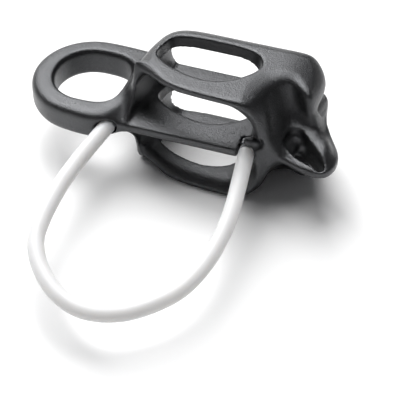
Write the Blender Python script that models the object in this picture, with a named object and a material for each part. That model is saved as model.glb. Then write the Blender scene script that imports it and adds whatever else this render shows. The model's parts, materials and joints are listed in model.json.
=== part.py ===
"""Guide mode belay device: one forged two-slot body and a springy wire keeper loop.

It lies on its lower outer plate, as in the photograph. In the model's own millimetres X runs
from the anchor ring to the nose, Y from the keeper's side to the far side, and Z = 0 is the
forging's parting plane, about which the body is symmetric.
"""
import math

import bmesh
import bpy
from mathutils import Vector

MM = 0.001
GAP = 0.3

# Body: heights are half-thicknesses about the parting plane.
BODY_HALF = 16.4
PLATE_WALL = 3.6
MID_WALL_HALF = 1.9
MID_WALL_EDGE_HALF = 1.1
RING_HALF = 4.2
NOSE_HALF = 3.7
NOSE_ARM_HALF = 1.1
FAR_EDGE_Y = 29.4
FRONT_FACE_Y = 1.7

# Anchor ring: a round eye, squarer on the body's side.
RING_CENTRE = (-14.5, 14.6)
RING_RADIUS = 15.7
RING_STATIONS = 12
RING_ARC = (97.0, 253.0)
EYE_CENTRE = (-14.3, 14.85)
EYE_HALF_X = 9.6
EYE_HALF_Y = 9.75
EYE_SQUARE = {"outer": 2.1, "inner": 3.3}
EYE_RIM = 1.0

# Rope slots.
SLOT_LEFT_X = 0.6
SLOT_LEFT_TAPER = 2.6
SLOT_RIGHT_X = 34.0
SLOT_HEIGHT = BODY_HALF - PLATE_WALL - MID_WALL_HALF
SLOT_COLUMN_CORNER = 0.37 * SLOT_HEIGHT
SLOT_CORNER = 0.6 * SLOT_HEIGHT
SLOT_LEFT_CORNERS = (0.4 * SLOT_HEIGHT, 0.12 * SLOT_HEIGHT)
SLOT_MOUTH_CORNERS = (2.4, 1.2)
SLOT_FLARE = 2.3
SLOT_LEFT_FLARE = 0.8
SLOT_RIGHT_FLARE = 0.5
SLOT_FAR_FLARE_LENGTH = 3.1
CUTTER_OVERRUN = 1.8

# V grooves through the end wall, and the ribs across their walls.
GROOVE_BOTTOM_Y = FAR_EDGE_Y - 14.0
GROOVE_MID_Z = BODY_HALF - 8.8
GROOVE_BOTTOM_HALF = 1.9
KEEL_CREST_HALF = 2.9
LOBE_WALL_Z = BODY_HALF - 5.4
RIB_PITCH = 3.3
RIB_HEIGHT = 0.7
RIB_COUNT = 4
RIB_START_X = SLOT_RIGHT_X + 0.8
GROOVE_RIM = 1.2

# Crown rounding: (width in plan, drop below the flat face).
CRISP = (0.9, 0.45)
CORNER = (1.4, 1.0)
COLUMN = (4.4, 2.0)
RIDGE = (5.4, 2.6)
SADDLE = (3.6, 1.8)
LOBE_RIDGE = (1.3, 1.4)
LOBE_TIP = (1.2, 1.6)
LEFT_CORNER = (2.0, 1.6)
SOFT = (4.0, 3.2)
LOBE = (3.2, 1.8)

# Wall profiles: (share of the way from foot to crown, share of the half-height).
PROFILES = {
    "wall": ((0.0, 0.08), (0.3, 0.24), (0.6, 0.46), (0.88, 0.73)),
    "hollow": ((0.0, 0.08), (0.36, 0.24), (0.7, 0.46), (0.95, 0.73)),
    "bulged": ((0.0, 0.15), (0.03, 0.3), (0.15, 0.52), (0.55, 0.76)),
    "keel": ((0.0, 0.15), (0.1, 0.3), (0.35, 0.49), (0.8, 0.73)),
    "waist": ((0.0, 0.14), (0.55, 0.28), (0.9, 0.46), (1.0, 0.7)),
}
WALL_EDGE = (0.4, 0.78, 1.0)

# Fillets between a flange and the wall that stands on it: distances from the crown in plan, the
# least share of the way from foot to crown, and the flange edge's (distance in, share of height).
FILLET_LEAST = (0.5, 0.75, 0.9)
FILLET_RISE = 2.6
FILLET_TOP = BODY_HALF - 5.4
RING_RIM = ((0.0, 0.3), (0.0, 0.6), (0.4, 0.78), (3.0, 1.0))
NOSE_RIM = ((0.0, 0.3), (0.05, 0.6), (0.5, 0.84), (2.4, 1.08))
RIM_LIMIT = 0.32
RING_FILLET = (RING_RIM, (5.0, 1.5, 0.3))
NOSE_FILLET = (NOSE_RIM, (6.5, 3.2, 1.2))
VALLEY_FILLET = (NOSE_RIM, (8.6, 5.2, 2.3))
COLUMN_FILLET = (NOSE_RIM, (8.6, 7.2, 4.2))

# The lobes' outer faces bend towards the parting plane.
DROOP_FROM_X = SLOT_RIGHT_X + 2.0
DROOP_STEP = 3.0
DROOP_STEPS = 6
DROOP_RATE = 0.034
DROOP_FLOOR = BODY_HALF - 10.4
DROOP_TOP = BODY_HALF - 3.4

# Keeper loop: a plastic-covered wire, its swaged ends and their drilled sockets.
CABLE_DIAMETER = 4.2
WIRE_DIAMETER = 2.0
SWAGE_LENGTH = 2.2
SOCKET_DEPTH = 4.0
SOCKET_CLEARANCE = 0.35
CABLE_LEFT = (
    (-4.6, 1.9, -0.2), (-5.4, -2.6, -0.4), (-6.0, -5.7, -0.6), (-6.9, -10.6, -1.0),
    (-7.6, -15.6, -1.3), (-8.1, -20.8, -1.6), (-8.3, -26.8, -2.1), (-8.1, -33.1, -2.6),
    (-7.4, -38.6, -3.1), (-5.7, -43.0, -3.4), (-2.6, -47.6, -3.9), (2.1, -52.2, -4.3),
    (6.9, -55.0, -4.6), (11.5, -56.2, -4.7),
)
CABLE_RIGHT = (
    (-18.1, -56.0, -4.6), (-13.9, -54.6, -4.5), (-10.1, -52.2, -4.3), (-6.6, -49.0, -4.0),
    (-3.4, -45.0, -3.7), (-1.0, -40.0, -3.2), (0.6, -33.7, -2.6), (1.3, -26.8, -2.1),
    (1.4, -20.6, -1.6), (1.0, -15.0, -1.2), (0.3, -9.4, -0.9), (-0.6, -2.9, -0.4),
    (-1.5, 3.1, -0.2),
)
CABLE_POINTS = 34

# Staking pocket over the right socket.
STAKE_AT = (SLOT_RIGHT_X + 0.3, 1.2, 4.3)
STAKE_RADII = (3.2, 2.0, 1.9)

# Body stations: foot on the parting plane, crown on the plate, half-thickness at the edge and at
# the root, wall profile or fillet, crown rounding. The column's, the nose's and the lobes' X are
# measured from the slots' right end.
FRONT_STATIONS = (
    ((0.4, 1.7), (0.6, 8.5), 1.0, None, "hollow", CORNER),
    ((4.6, 1.7), (4.8, 7.2), 1.0, None, "wall", CORNER),
    ((9.0, 1.7), (9.2, 4.6), 1.0, None, "wall", CRISP),
    ((14.0, 1.7), (14.0, 3.1), 1.0, None, "wall", CRISP),
    ((20.0, 1.7), (20.0, 2.6), 1.0, None, "wall", CRISP),
    ((26.0, 1.7), (26.0, 2.3), 1.0, None, "wall", CRISP),
)
COLUMN_STATIONS = (
    ((-2.0, 1.7), (-2.7, 2.1), 1.0, None, "bulged", CORNER),
    ((2.6, 1.9), (-0.4, 3.0), 1.0, None, "bulged", COLUMN),
    ((4.4, 3.0), (0.7, 5.9), 1.0, None, "bulged", COLUMN),
)
NOSE_STATIONS = (
    ((7.0, 3.2), (1.3, 8.8), 1.0, None, "bulged", RIDGE),
    ((9.9, 2.1), (2.1, 11.4), NOSE_ARM_HALF, 3.4, COLUMN_FILLET, RIDGE),
    ((13.4, 0.9), (3.0, 13.8), NOSE_ARM_HALF + 0.2, NOSE_HALF, VALLEY_FILLET, RIDGE),
    ((17.4, 0.0), (4.3, 15.3), NOSE_ARM_HALF + 0.2, NOSE_HALF + 0.3, NOSE_FILLET, SADDLE),
    ((20.6, 1.2), (6.3, 15.9), NOSE_HALF - 1.4, NOSE_HALF + 0.5, NOSE_FILLET, SADDLE),
    ((22.0, 6.4), (9.0, 14.1), NOSE_HALF - 1.4, NOSE_HALF + 0.6, NOSE_FILLET, LOBE_RIDGE),
    ((20.4, 11.0), (11.6, 12.4), NOSE_HALF - 1.5, NOSE_HALF + 0.4, NOSE_FILLET, LOBE_TIP),
    ((16.6, 15.2), (13.0, 14.2), 2.0, None, "waist", LOBE_TIP),
    ((14.8, 19.0), (13.6, 18.0), 2.0, None, "waist", LOBE_TIP),
    ((14.2, 22.6), (13.6, 21.7), 2.0, None, "keel", LOBE),
    ((13.7, 26.0), (12.7, 24.8), 2.0, None, "keel", LOBE),
    ((11.6, FAR_EDGE_Y - 1.1), (10.9, FAR_EDGE_Y - 2.1), 2.0, None, "keel", LOBE),
    ((8.0, FAR_EDGE_Y + 0.3), (8.2, FAR_EDGE_Y), 1.0, None, "wall", LOBE),
    ((4.0, FAR_EDGE_Y + 0.3), (4.4, FAR_EDGE_Y), 1.0, None, "wall", SOFT),
    ((-2.0, FAR_EDGE_Y + 0.3), (-2.0, FAR_EDGE_Y), 1.0, None, "wall", SOFT),
)
FAR_STATIONS = (
    ((25.5, FAR_EDGE_Y + 0.2), (25.5, FAR_EDGE_Y - 0.1), 1.0, None, "wall", SOFT),
    ((19.0, FAR_EDGE_Y + 0.2), (19.0, FAR_EDGE_Y - 0.1), 1.0, None, "wall", SOFT),
    ((13.0, FAR_EDGE_Y + 0.2), (13.0, FAR_EDGE_Y - 0.1), 1.0, None, "wall", SOFT),
    ((7.5, FAR_EDGE_Y + 0.2), (8.0, FAR_EDGE_Y - 0.5), 1.0, None, "wall", SOFT),
    ((2.5, FAR_EDGE_Y + 0.3), (4.4, FAR_EDGE_Y - 2.4), RING_HALF, RING_HALF, RING_FILLET, SOFT),
    ((-2.5, FAR_EDGE_Y + 0.5), (2.4, FAR_EDGE_Y - 5.4), RING_HALF, RING_HALF, RING_FILLET, SOFT),
    ((-8.5, FAR_EDGE_Y + 0.9), (1.5, FAR_EDGE_Y - 8.6), RING_HALF, RING_HALF, RING_FILLET, SOFT),
)
WEB_STATIONS = (
    ((-10.5, -1.4), (-0.1, 10.5), RING_HALF, RING_HALF, RING_FILLET, SOFT),
    ((-6.0, -0.6), (-0.1, 10.0), RING_HALF, RING_HALF, RING_FILLET, CORNER),
    ((-2.4, 1.0), (0.1, 9.4), 2.4, 3.4, RING_FILLET, CRISP),
)
RING_CROWN_FROM = (0.9, 18.4)
RING_CROWN_TO = (-0.1, 11.0)

# Window through the three walls, and the release hole in the nose, whose X is measured from the
# slots' right end.
WINDOW = (
    (4.4, 15.0), (5.0, 18.9), (6.6, 22.1), (11.0, 23.5), (18.0, 23.8), (24.5, 23.5),
    (29.2, 22.2), (31.2, 18.9), (30.3, 15.6), (27.4, 12.2), (23.3, 9.5), (18.4, 8.6),
    (12.6, 9.7), (7.6, 12.0),
)
WINDOW_RIM = 0.5
RELEASE_CORNERS = ((7.0, 5.0), (22.5, -1.5), (8.6, 10.8))
RELEASE_RADII = (1.3, 1.1, 1.6)
RELEASE_RIM = 0.7

CHARCOAL = (0.045, 0.047, 0.05, 1.0)


def clear_scene():
    """Remove every object and mesh of the open scene."""
    for obj in list(bpy.data.objects):
        bpy.data.objects.remove(obj, do_unlink=True)
    for mesh in list(bpy.data.meshes):
        bpy.data.meshes.remove(mesh)


def material(name, color, metallic, roughness):
    """Make one Principled material."""
    made = bpy.data.materials.new(name)
    made.use_nodes = True
    shader = made.node_tree.nodes["Principled BSDF"]
    shader.inputs["Base Color"].default_value = color
    shader.inputs["Metallic"].default_value = metallic
    shader.inputs["Roughness"].default_value = roughness
    return made


def mesh_object(name, mesh_data, shown=True):
    """Turn a bmesh in millimetres into an object in metres."""
    bmesh.ops.scale(mesh_data, vec=(MM, MM, MM), verts=mesh_data.verts)
    bmesh.ops.recalc_face_normals(mesh_data, faces=mesh_data.faces)
    mesh = bpy.data.meshes.new(name)
    mesh_data.to_mesh(mesh)
    mesh_data.free()
    obj = bpy.data.objects.new(name, mesh)
    bpy.context.collection.objects.link(obj)
    if not shown:
        obj.hide_render = True
        obj.display_type = "WIRE"
    return obj


def loft(sections):
    """Join equal rings of points into one closed tube."""
    made = bmesh.new()
    rings = [[made.verts.new(point) for point in section] for section in sections]
    count = len(rings[0])
    for lower, upper in zip(rings, rings[1:]):
        for i in range(count):
            j = (i + 1) % count
            made.faces.new((lower[i], lower[j], upper[j], upper[i]))
    made.faces.new(rings[0][::-1])
    made.faces.new(rings[-1])
    return made


def rounded(points, steps):
    """A closed curve through the points, with the given steps between them."""
    made = []
    count = len(points)
    for i in range(count):
        a, b, c, d = (Vector(points[(i + k) % count]) for k in (-1, 0, 1, 2))
        for step in range(steps):
            t = step / steps
            made.append(0.5 * (2 * b + (c - a) * t + (2 * a - 5 * b + 4 * c - d) * t ** 2
                               + (3 * b - a - 3 * c + d) * t ** 3))
    return made


def filleted(corners, radii, steps=5):
    """A polygon whose corners are arcs of the given radii."""
    made = []
    count = len(corners)
    for i in range(count):
        corner = Vector(corners[i])
        before = (Vector(corners[i - 1]) - corner).normalized()
        after = (Vector(corners[(i + 1) % count]) - corner).normalized()
        half = before.angle(after) / 2
        centre = corner + (before + after).normalized() * radii[i] / math.sin(half)
        start = corner + before * radii[i] / math.tan(half) - centre
        turn = start.angle_signed(corner + after * radii[i] / math.tan(half) - centre)
        for step in range(steps + 1):
            angle = -turn * step / steps
            cos, sin = math.cos(angle), math.sin(angle)
            made.append(centre + Vector((start.x * cos - start.y * sin,
                                         start.x * sin + start.y * cos)))
    return made


def grown(outline, amount):
    """Move a closed outline outwards by an amount."""
    count = len(outline)
    area = sum(outline[i - 1].x * outline[i].y - outline[i].x * outline[i - 1].y
               for i in range(count))
    side = 1.0 if area > 0 else -1.0
    made = []
    for i in range(count):
        along = (outline[(i + 1) % count] - outline[i - 1]).normalized()
        made.append(outline[i] + side * amount * Vector((along.y, -along.x)))
    return made


def hole_sections(outline, half, rim):
    """Sections of a cutter along Z that rounds both rims of a hole in a wall of that half."""
    steps = ((half + 4.0, 1.0), (half + 0.05, 1.0), (half - 0.3 * rim, 0.42),
             (half - 1.2 * rim, 0.0))
    levels = [(-z, share) for z, share in steps] + [(z, share) for z, share in steps[::-1]]
    return [[(p.x, p.y, z) for p in grown(outline, rim * share)] for z, share in levels]


def from_right_end(points):
    """Points whose X is measured from the slots' right end, in the model's X."""
    return tuple((point[0] + SLOT_RIGHT_X, *point[1:]) for point in points)


def moved(table):
    """Stations whose X is measured from the slots' right end, in the model's X."""
    return tuple((*from_right_end(station[:2]), *station[2:]) for station in table)


def stations():
    """Every perimeter station of the forging blank, in order round the outline."""
    ring = []
    for i in range(RING_STATIONS):
        share = i / (RING_STATIONS - 1)
        angle = math.radians(RING_ARC[0] + (RING_ARC[1] - RING_ARC[0]) * share)
        foot = (RING_CENTRE[0] + RING_RADIUS * math.cos(angle),
                RING_CENTRE[1] + RING_RADIUS * math.sin(angle))
        crown = tuple(a + (b - a) * share for a, b in zip(RING_CROWN_FROM, RING_CROWN_TO))
        ring.append((foot, crown, RING_HALF, RING_HALF, RING_FILLET, SOFT))
    return (*FRONT_STATIONS, *moved(COLUMN_STATIONS), *moved(NOSE_STATIONS), *FAR_STATIONS, *ring,
            *WEB_STATIONS)


def station_rows(foot, crown, inward, edge, root, wall, rounding):
    """Points of one station from the parting plane up to the flat outer face."""
    way = crown - foot
    reach = way.length
    width, drop = rounding
    if isinstance(wall, str):
        rows = [(foot, share * edge) for share in WALL_EDGE]
        rows += [(foot + way * share, height * BODY_HALF) for share, height in PROFILES[wall]]
    else:
        rim, fillet = wall
        heights = (root, root + FILLET_RISE, FILLET_TOP)
        rows = [(foot + way * min(away / reach, RIM_LIMIT), share * edge) for away, share in rim]
        rows += [(foot + way * max(1 - away / reach, least), height)
                 for away, least, height in zip(fillet, FILLET_LEAST, heights)]
    rows += [
        (crown, BODY_HALF - drop),
        (crown + inward * 0.3 * width, BODY_HALF - 0.3 * drop),
        (crown + inward * width, BODY_HALF),
        (crown + inward * (width + 0.3), BODY_HALF),
    ]
    return [(point.x, point.y, height) for point, height in rows]


def droop(blank):
    """Bend the lobes' outer faces towards the parting plane, one flat strip at a time."""
    for k in range(DROOP_STEPS):
        bmesh.ops.bisect_plane(blank, geom=[*blank.verts, *blank.edges, *blank.faces], dist=1e-4,
                               plane_co=(DROOP_FROM_X + k * DROOP_STEP, 0.0, 0.0), plane_no=(1.0, 0.0, 0.0))
    for vert in blank.verts:
        steps = max(vert.co.x - DROOP_FROM_X, 0.0) / DROOP_STEP
        whole = min(math.floor(steps), DROOP_STEPS - 1)
        curve = whole ** 2 + (steps - whole) * (2 * whole + 1)
        share = (abs(vert.co.z) - DROOP_FLOOR) / (DROOP_TOP - DROOP_FLOOR)
        share = min(max(share, 0.0), 1.0)
        share *= share * (3 - 2 * share)
        vert.co.z -= math.copysign(0.5 * DROOP_RATE * DROOP_STEP ** 2 * curve * share, vert.co.z)


def forging_blank():
    """The body before its holes are cut: a smoothed skirt with two flat outer faces."""
    ring = stations()
    count = len(ring)
    columns = []
    for i, (foot, crown, edge, root, wall, rounding) in enumerate(ring):
        along = (Vector(ring[(i + 1) % count][1]) - Vector(ring[i - 1][1])).normalized()
        inward = Vector((-along.y, along.x))
        upper = station_rows(Vector(foot), Vector(crown), inward, edge, root, wall, rounding)
        columns.append([(x, y, -z) for x, y, z in upper[::-1]] + upper)
    skirt = bmesh.new()
    grid = [[skirt.verts.new(point) for point in column] for column in columns]
    for i in range(count):
        left, right = grid[i], grid[(i + 1) % count]
        for low in range(len(left) - 1):
            skirt.faces.new((left[low], right[low], right[low + 1], left[low + 1]))
    cage = mesh_object("forging_cage", skirt, shown=False)
    cage.modifiers.new("smooth", "SUBSURF").levels = 1
    smooth = cage.evaluated_get(bpy.context.evaluated_depsgraph_get()).to_mesh()
    blank = bmesh.new()
    blank.from_mesh(smooth)
    bpy.data.objects.remove(cage, do_unlink=True)
    rims = [edge for edge in blank.edges if edge.is_boundary]
    for edge in rims:
        for vert in edge.verts:
            vert.co.z = math.copysign(BODY_HALF * MM, vert.co.z)
    bmesh.ops.holes_fill(blank, edges=rims, sides=0)
    bmesh.ops.scale(blank, vec=(1 / MM,) * 3, verts=blank.verts)
    droop(blank)
    return mesh_object("forged_body", blank)


def mouth_shift(x, z):
    """How far the plates' near edge lies behind the front face over a point of the mouth."""
    edge = [station[1] for station in (*FRONT_STATIONS, *moved(COLUMN_STATIONS[:2]))]
    for (xa, ya), (xb, yb) in zip(edge, edge[1:]):
        if x <= xb or (xb, yb) == edge[-1]:
            share = min(max((x - xa) / (xb - xa), 0.0), 1.0)
            break
    y = ya + (yb - ya) * share
    return (y - FRONT_FACE_Y) * min(abs(z) / (BODY_HALF - 1.4), 1.0) ** 1.5


def slot_section(flare, depth, follow):
    """One rounded rectangle of a slot, opened by its flare, at a depth behind the mouth."""
    left = SLOT_LEFT_X - SLOT_LEFT_FLARE * flare
    left += SLOT_LEFT_TAPER * min(max(depth / (FAR_EDGE_Y - FRONT_FACE_Y), 0.0), 1.0)
    right = SLOT_RIGHT_X + SLOT_RIGHT_FLARE * flare
    low = MID_WALL_HALF + (MID_WALL_EDGE_HALF - MID_WALL_HALF) * flare
    high = BODY_HALF - PLATE_WALL + SLOT_FLARE * flare
    opened = min(flare, 1.0)
    upper, lower = (deep + (mouth - deep) * opened
                    for deep, mouth in zip(SLOT_LEFT_CORNERS, SLOT_MOUTH_CORNERS))
    corner, column = SLOT_CORNER, SLOT_COLUMN_CORNER
    made = []
    centres = ((right - column, low + column, -90, column), (right - corner, high - corner, 0, corner),
               (left + upper, high - upper, 90, upper), (left + lower, low + lower, 180, lower))
    for index, (cx, cz, start, radius) in enumerate(centres):
        for step in range(5):
            angle = math.radians(start + 90 * step / 4)
            made.append((cx + radius * math.cos(angle), cz + radius * math.sin(angle)))
        if index in (1, 3):
            nx = centres[(index + 1) % 4][0]
            z = made[-1][1]
            made += [(cx + (nx - cx) * k / 5, z) for k in range(1, 5)]
    return [(x, FRONT_FACE_Y + depth + follow * mouth_shift(x, z), z) for x, z in made]


def slot_cutter(side):
    """Cutter of one rope slot, along Y, with a flared mouth on each side."""
    end = FAR_EDGE_Y - FRONT_FACE_Y
    sections = [slot_section(1.3, -6.0, 0.0), slot_section(1.0, 0.0, 1.0),
                slot_section(0.45, 1.1, 1.0), slot_section(0.12, 2.7, 1.0),
                slot_section(0.0, 5.0, 1.0), slot_section(0.0, end - SLOT_FAR_FLARE_LENGTH, 0.0),
                slot_section(0.25, end - 0.3, 0.0), slot_section(0.6, end + CUTTER_OVERRUN, 0.0)]
    sections = [[(x, y, side * z) for x, y, z in section] for section in sections]
    return mesh_object(f"slot_cutter_{'upper' if side > 0 else 'lower'}", loft(sections), False)


def groove_profile(rib, rim):
    """V profile in Y and Z: rib is how far its walls stand in, rim how far they open."""
    crest = FAR_EDGE_Y - 1.4
    base = GROOVE_BOTTOM_Y + 1.5
    top = crest + 6.0
    shift = rib - rim

    def wall(start, end, y):
        return start + (end - start) * (y - base) / (crest - base)

    keel_base = GROOVE_MID_Z - GROOVE_BOTTOM_HALF
    lobe_base = GROOVE_MID_Z + GROOVE_BOTTOM_HALF
    keel = [(y, wall(keel_base, KEEL_CREST_HALF, y) + shift) for y in (top, crest, base)]
    lobe = [(y, wall(lobe_base, LOBE_WALL_Z, y) - shift) for y in (base, crest, top)]
    bottom = GROOVE_BOTTOM_Y + 0.6 * shift
    return keel + [(bottom + 0.4, GROOVE_MID_Z - 0.9), (bottom, GROOVE_MID_Z),
                   (bottom + 0.4, GROOVE_MID_Z + 0.9)] + lobe


def groove_cutter(side):
    """Cutter of one toothed V groove, along X through the end wall."""
    places = [(SLOT_RIGHT_X - 3.0, 0.0, 0.0)]
    for i in range(RIB_COUNT):
        x = RIB_START_X + i * RIB_PITCH
        places += [(x, 0.0, 0.0), (x + 0.34 * RIB_PITCH, RIB_HEIGHT, 0.0),
                   (x + 0.62 * RIB_PITCH, RIB_HEIGHT, 0.0)]
    end = RIB_START_X + RIB_COUNT * RIB_PITCH - 0.4
    places += [(end, 0.0, 0.3 * GROOVE_RIM), (end + 1.4, 0.0, GROOVE_RIM), (end + 6.0, 0.0, GROOVE_RIM)]
    sections = [[(x, y, side * z) for y, z in groove_profile(rib, rim)] for x, rib, rim in places]
    return mesh_object(f"groove_cutter_{'upper' if side > 0 else 'lower'}", loft(sections), False)


def eye_outline():
    """Outline of the anchor eye."""
    made = []
    for i in range(32):
        angle = 2 * math.pi * i / 32
        cos, sin = math.cos(angle), math.sin(angle)
        power = 2 / (EYE_SQUARE["inner"] if cos > 0 else EYE_SQUARE["outer"])
        made.append(Vector((
            EYE_CENTRE[0] + EYE_HALF_X * math.copysign(abs(cos) ** power, cos),
            EYE_CENTRE[1] + EYE_HALF_Y * math.copysign(abs(sin) ** power, sin))))
    return made


def cable_route():
    """The keeper's points, from its left exit to its right one."""
    return [Vector(point) for point in (*CABLE_LEFT, *from_right_end(CABLE_RIGHT))]


def cable_ends():
    """For each end of the keeper: its exit point and the direction into the body."""
    route = cable_route()
    return [(point, (point - outside).normalized())
            for point, outside in ((route[0], route[1]), (route[-1], route[-2]))]


def round_bar(diameter, start, end, point, direction, segments=20):
    """A cylinder from start to end along a direction from a point."""
    made = bmesh.new()
    bmesh.ops.create_cone(made, cap_ends=True, segments=segments, radius1=diameter / 2,
                          radius2=diameter / 2, depth=end - start)
    turn = direction.to_track_quat("Z", "Y").to_matrix()
    bmesh.ops.rotate(made, matrix=turn, verts=made.verts)
    bmesh.ops.translate(made, vec=point + direction * (start + end) / 2, verts=made.verts)
    return made


def cable_end(name, point, direction):
    """Swaged ferrule with the wire's stub, held in a drilled socket."""
    ferrule = CABLE_DIAMETER + 2 * (SOCKET_CLEARANCE - GAP)
    back = SOCKET_DEPTH - GAP
    turn = direction.to_track_quat("Z", "Y").to_matrix()
    made = bmesh.new()
    rings = []
    radii = ((WIRE_DIAMETER / 2, 0.45), (WIRE_DIAMETER / 2, back - SWAGE_LENGTH),
             (ferrule / 2 - 0.3, back - SWAGE_LENGTH), (ferrule / 2, back - SWAGE_LENGTH + 0.3),
             (ferrule / 2, back - 0.3), (ferrule / 2 - 0.3, back))
    for radius, height in radii:
        rings.append([point + turn @ Vector((radius * math.cos(a), radius * math.sin(a), height))
                      for a in (2 * math.pi * i / 20 for i in range(20))])
    made = loft(rings)
    return mesh_object(name, made)


def stake_cutter():
    """Cutter of the oval staking pocket beside the right socket."""
    made = bmesh.new()
    bmesh.ops.create_uvsphere(made, u_segments=16, v_segments=8, radius=1.0)
    bmesh.ops.scale(made, vec=STAKE_RADII, verts=made.verts)
    bmesh.ops.translate(made, vec=STAKE_AT, verts=made.verts)
    return mesh_object("stake_cutter", made, False)


def cut(body, cutters):
    """Take each cutter out of the body with an exact Boolean."""
    for cutter in cutters:
        step = body.modifiers.new(cutter.name, "BOOLEAN")
        step.operation = "DIFFERENCE"
        step.solver = "EXACT"
        step.object = cutter


def keeper_cable():
    """The keeper's free loop: a curve tube along its real route."""
    route = cable_route()
    knots = [route[0] * 2 - route[1], *route, route[-1] * 2 - route[-2]]
    fine = []
    for a, b, c, d in zip(knots, knots[1:], knots[2:], knots[3:]):
        for step in range(12):
            t = step / 12
            fine.append(0.5 * (2 * b + (c - a) * t + (2 * a - 5 * b + 4 * c - d) * t ** 2
                               + (3 * b - a - 3 * c + d) * t ** 3))
    fine.append(route[-1])
    reach = [0.0]
    for a, b in zip(fine, fine[1:]):
        reach.append(reach[-1] + (b - a).length)
    points = []
    k = 0
    for i in range(CABLE_POINTS):
        want = reach[-1] * i / (CABLE_POINTS - 1)
        while k < len(reach) - 2 and reach[k + 1] < want:
            k += 1
        share = (want - reach[k]) / (reach[k + 1] - reach[k])
        points.append(fine[k].lerp(fine[k + 1], share))
    print(f"keeper cable, exit to exit: {reach[-1]:.1f} mm")
    curve = bpy.data.curves.new("keeper_cable", "CURVE")
    curve.dimensions = "3D"
    curve.bevel_depth = CABLE_DIAMETER / 2 * MM
    curve.bevel_resolution = 3
    curve.use_fill_caps = True
    spline = curve.splines.new("POLY")
    spline.points.add(CABLE_POINTS - 1)
    for place, point in zip(spline.points, points):
        place.co = (*(point * MM), 1.0)
    obj = bpy.data.objects.new("keeper_cable", curve)
    bpy.context.collection.objects.link(obj)
    return obj


def smooth_shading(obj, angle):
    """Shade a mesh smooth, with edges over the angle left sharp."""
    for polygon in obj.data.polygons:
        polygon.use_smooth = True
    obj.data.set_sharp_from_angle(angle=math.radians(angle))


def build():
    """Make the whole device and set it on the ground plane."""
    clear_scene()
    body = forging_blank()
    window = rounded(WINDOW, 3)
    eye = eye_outline()
    release = filleted(from_right_end(RELEASE_CORNERS), RELEASE_RADII)
    sockets = [round_bar(CABLE_DIAMETER + 2 * SOCKET_CLEARANCE, -4.0, SOCKET_DEPTH, point, direction)
               for point, direction in cable_ends()]
    cutters = [
        slot_cutter(1), slot_cutter(-1),
        mesh_object("window_cutter", loft(hole_sections(window, BODY_HALF, WINDOW_RIM)), False),
        groove_cutter(1), groove_cutter(-1),
        mesh_object("eye_cutter", loft(hole_sections(eye, RING_HALF, EYE_RIM)), False),
        mesh_object("release_cutter", loft(hole_sections(release, NOSE_HALF, RELEASE_RIM)), False),
        mesh_object("socket_cutter_left", sockets[0], False),
        mesh_object("socket_cutter_right", sockets[1], False),
        stake_cutter(),
    ]
    cut(body, cutters)
    smooth_shading(body, 35)
    body.data.materials.append(material("anodised", CHARCOAL, 0.85, 0.42))

    steel = material("swaged_steel", (0.55, 0.56, 0.58, 1.0), 1.0, 0.35)
    white = material("cable_cover", (0.82, 0.83, 0.84, 1.0), 0.0, 0.38)
    pieces = [body, *cutters]
    for side, (point, direction) in zip(("left", "right"), cable_ends()):
        end = cable_end(f"cable_end_{side}", point, direction)
        smooth_shading(end, 35)
        end.data.materials.append(steel)
        pieces.append(end)
    cable = keeper_cable()
    cable.data.materials.append(white)
    pieces.append(cable)

    low = [min(v.co[k] for v in body.data.vertices) for k in range(3)]
    high = [max(v.co[k] for v in body.data.vertices) for k in range(3)]
    place = Vector((-(low[0] + high[0]) / 2, -(low[1] + high[1]) / 2, BODY_HALF * MM))
    for piece in pieces:
        piece.location = place
    print("origin shift in mm:", [round(v / MM, 3) for v in place])
    for name, (point, _) in zip(("left exit", "right exit"), cable_ends()):
        print(name, [round(v, 6) for v in point * MM + place])


build()
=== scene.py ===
"""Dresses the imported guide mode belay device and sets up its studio.

The forging is lofted again at a finer step than the CAD solid, in the same millimetres, and its
finish then blasts and anodises it. The keeper loop is one covered wire that leaves the forging at
one socket and goes back in at the other.
"""
import json
import logging
import math
from dataclasses import dataclass
from enum import Enum
from typing import ClassVar

import bmesh
import bpy
from mathutils import Matrix, Vector

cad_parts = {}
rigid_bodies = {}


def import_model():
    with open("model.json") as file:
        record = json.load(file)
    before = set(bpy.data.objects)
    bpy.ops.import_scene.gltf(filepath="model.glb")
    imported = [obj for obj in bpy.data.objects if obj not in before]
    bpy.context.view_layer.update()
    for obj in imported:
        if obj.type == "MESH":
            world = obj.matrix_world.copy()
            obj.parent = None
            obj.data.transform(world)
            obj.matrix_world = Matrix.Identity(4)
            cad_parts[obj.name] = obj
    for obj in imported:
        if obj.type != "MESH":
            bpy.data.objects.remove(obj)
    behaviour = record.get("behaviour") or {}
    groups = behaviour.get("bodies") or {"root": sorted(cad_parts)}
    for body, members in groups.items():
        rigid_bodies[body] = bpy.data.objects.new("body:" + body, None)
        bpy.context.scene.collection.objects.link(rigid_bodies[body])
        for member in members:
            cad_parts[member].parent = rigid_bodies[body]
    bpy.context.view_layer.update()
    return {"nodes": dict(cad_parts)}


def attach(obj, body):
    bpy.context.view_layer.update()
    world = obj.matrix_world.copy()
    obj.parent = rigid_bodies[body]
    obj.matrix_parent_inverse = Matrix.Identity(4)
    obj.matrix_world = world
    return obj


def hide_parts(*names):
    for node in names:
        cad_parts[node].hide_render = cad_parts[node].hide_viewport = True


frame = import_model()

MM = 0.001
PLACE = Vector((-12.734, -14.556, 16.4))  # the model's own origin in the row frame, in millimetres
log = logging.getLogger("belay_device")

Point2 = tuple[float, float]
Point3 = tuple[float, float, float]
Colour = tuple[float, float, float]


class Body(Enum):
    """The CAD bodies that pieces ride on."""

    ROOT = "root"
    KEEPER = "keeper"


class Slot(Enum):
    """The record's material slots that the pieces made here take."""

    ANODISED = "anodised"
    COVER = "cable_cover"


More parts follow.
